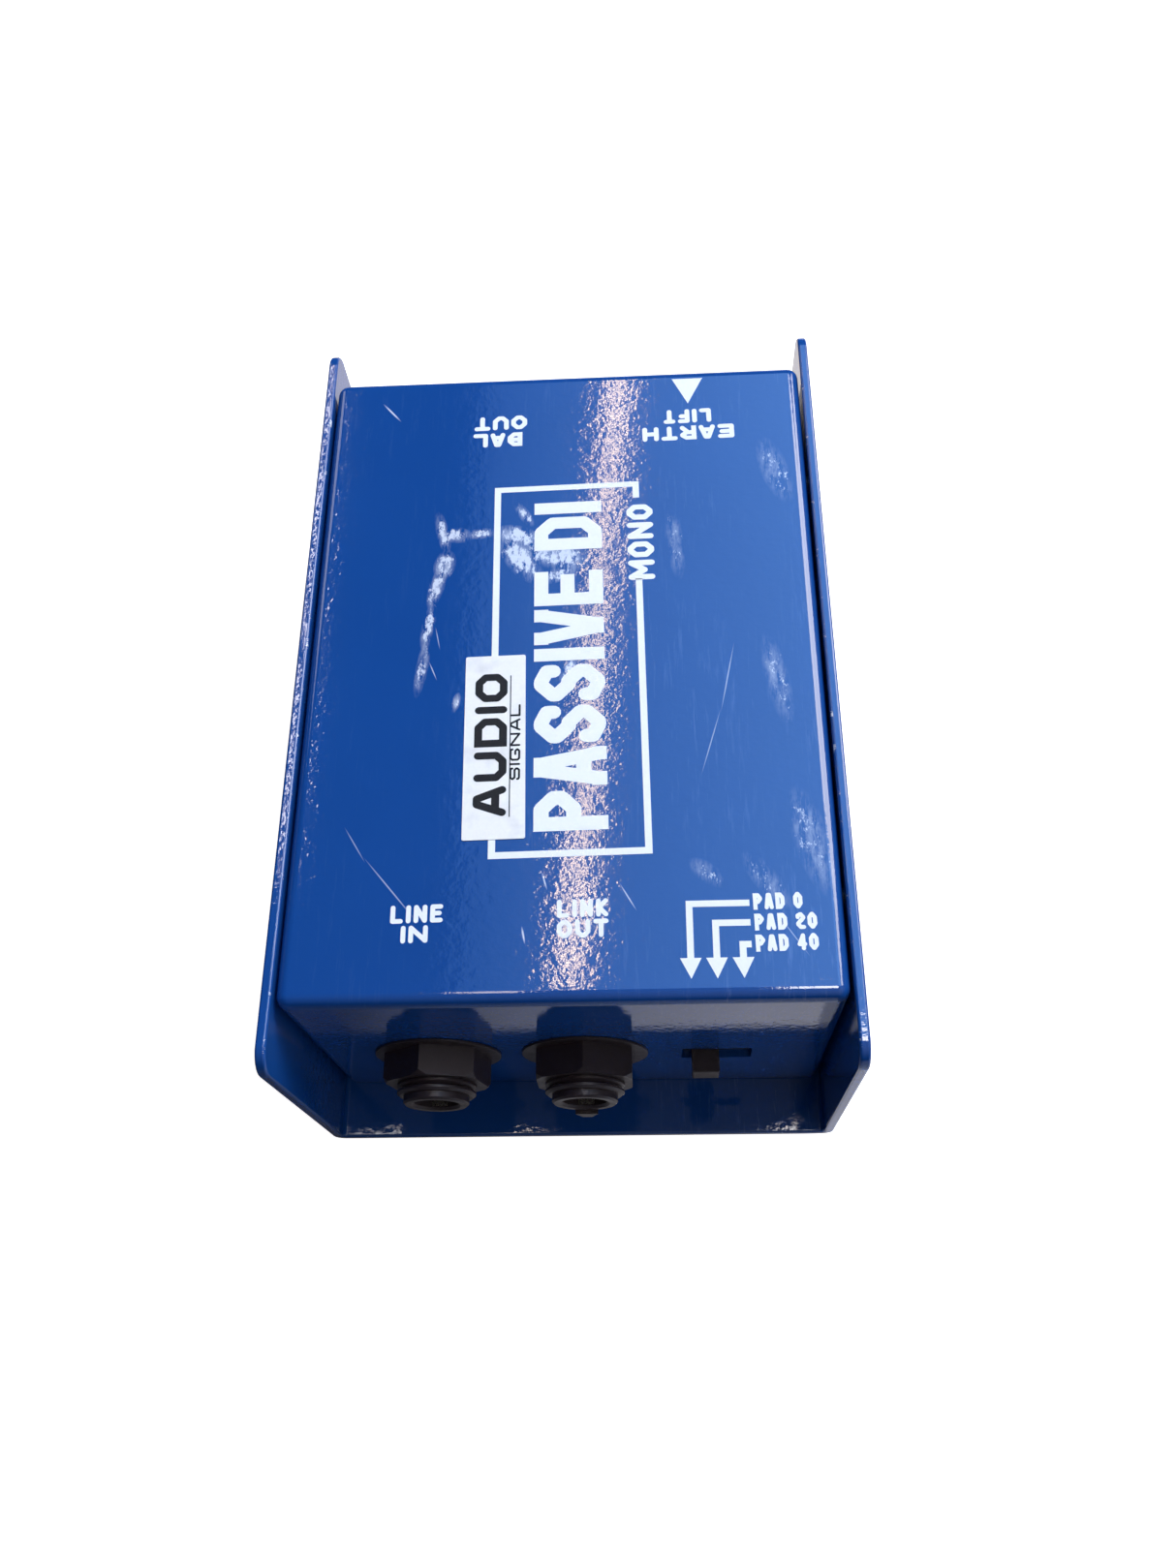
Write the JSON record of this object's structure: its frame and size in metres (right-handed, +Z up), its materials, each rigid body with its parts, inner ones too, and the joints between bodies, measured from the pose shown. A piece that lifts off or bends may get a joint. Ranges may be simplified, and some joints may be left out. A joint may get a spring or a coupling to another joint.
{
  "type": "direct injection box",
  "caption": "Passive direct injection box: folded steel case with guard flanges, two jacks and a pad switch at the front, a three-pin connector and ground lift at the rear.",
  "frame": {"origin": "on the surface under the feet, below the middle of the box", "axes": "+X right and +Y back, seen from the jack side; +Z up"},
  "size_m": [0.08, 0.123, 0.0492],
  "materials": {
    "paint": "glossy blue enamel on folded steel, scuffed",
    "screw_steel": "zinc plated",
    "label_paper": "white vinyl sticker",
    "foot_rubber": "matte black",
    "jack_plastic": "moulded black",
    "nut_plastic": "moulded black",
    "contact_metal": "tinned spring brass",
    "pin_metal": "silver plated",
    "board": "glass laminate with green mask",
    "resistor_body": "lacquered, colour bands",
    "capacitor_body": "dipped film",
    "core_steel": "stacked silicon steel laminations",
    "bobbin_plastic": "moulded nylon",
    "winding_tape": "amber film tape",
    "frame_steel": "tinned sheet steel",
    "phenolic": "brown laminate",
    "knob_plastic": "moulded black",
    "shell_metal": "nickel plated die casting",
    "insert_plastic": "moulded black",
    "wire_signal": "PVC insulation",
    "wire_lift": "PVC insulation"
  },
  "bodies": {
    "box": {"attenuator_resistors": "resistor_body", "base_chassis": "paint", "board_screws": "screw_steel", "board_standoffs": "screw_steel", "cover_label": "label_paper", "cover_screws": "screw_steel", "filter_capacitor": "capacitor_body", "floor_screws": "screw_steel", "foot_front_left": "foot_rubber", "foot_front_right": "foot_rubber", "foot_rear_left": "foot_rubber", "foot_rear_right": "foot_rubber", "jack_in_housing": "jack_plastic", "jack_in_nut": "nut_plastic", "jack_in_sleeve_contact": "contact_metal", "jack_in_tip_terminal": "contact_metal", "jack_in_washer": "nut_plastic", "jack_out_housing": "jack_plastic", "jack_out_nut": "nut_plastic", "jack_out_sleeve_contact": "contact_metal", "jack_out_tip_terminal": "contact_metal", "jack_out_washer": "nut_plastic", "lift_base": "phenolic", "lift_frame": "frame_steel", "lift_nuts": "screw_steel", "lift_screws": "screw_steel", "lift_terminals": "contact_metal", "lift_wires": "wire_lift", "main_board": "board", "pad_base": "phenolic", "pad_frame": "frame_steel", "pad_terminals": "contact_metal", "signal_wires": "wire_signal", "top_cover": "paint", "transformer_bobbin": "bobbin_plastic", "transformer_clamp": "frame_steel", "transformer_core": "core_steel", "transformer_pins": "contact_metal", "transformer_winding": "winding_tape", "xlr_insert": "insert_plastic", "xlr_nuts": "screw_steel", "xlr_pins": "pin_metal", "xlr_screws": "screw_steel", "xlr_shell": "shell_metal"},
    "pad_slide_body": {"pad_slider": "knob_plastic", "pad_bridges": "contact_metal"},
    "lift_slide_body": {"lift_slider": "knob_plastic", "lift_bridges": "contact_metal"},
    "in_spring_body": {"jack_in_tip_spring": "contact_metal"},
    "out_spring_body": {"jack_out_tip_spring": "contact_metal"}
  },
  "joints": [
    {"name": "pad_switch_slide", "type": "slide", "parent": "box", "child": "pad_slide_body", "axis": [1, 0, 0], "range_m": [0, 0.004]},
    {"name": "ground_lift_slide", "type": "slide", "parent": "box", "child": "lift_slide_body", "axis": [1, 0, 0], "range_m": [0, 0.003]},
    {"name": "jack_in_tip_flex", "type": "hinge", "parent": "box", "child": "in_spring_body", "pos_m": [-0.0202, -0.0463, 0.02725], "axis": [1, 0, 0], "range_deg": [0, 6], "stiffness_Nm_per_rad": 0.3},
    {"name": "jack_out_tip_flex", "type": "hinge", "parent": "box", "child": "out_spring_body", "pos_m": [0.0018, -0.0463, 0.02725], "axis": [1, 0, 0], "range_deg": [0, 6], "stiffness_Nm_per_rad": 0.3}
  ]
}
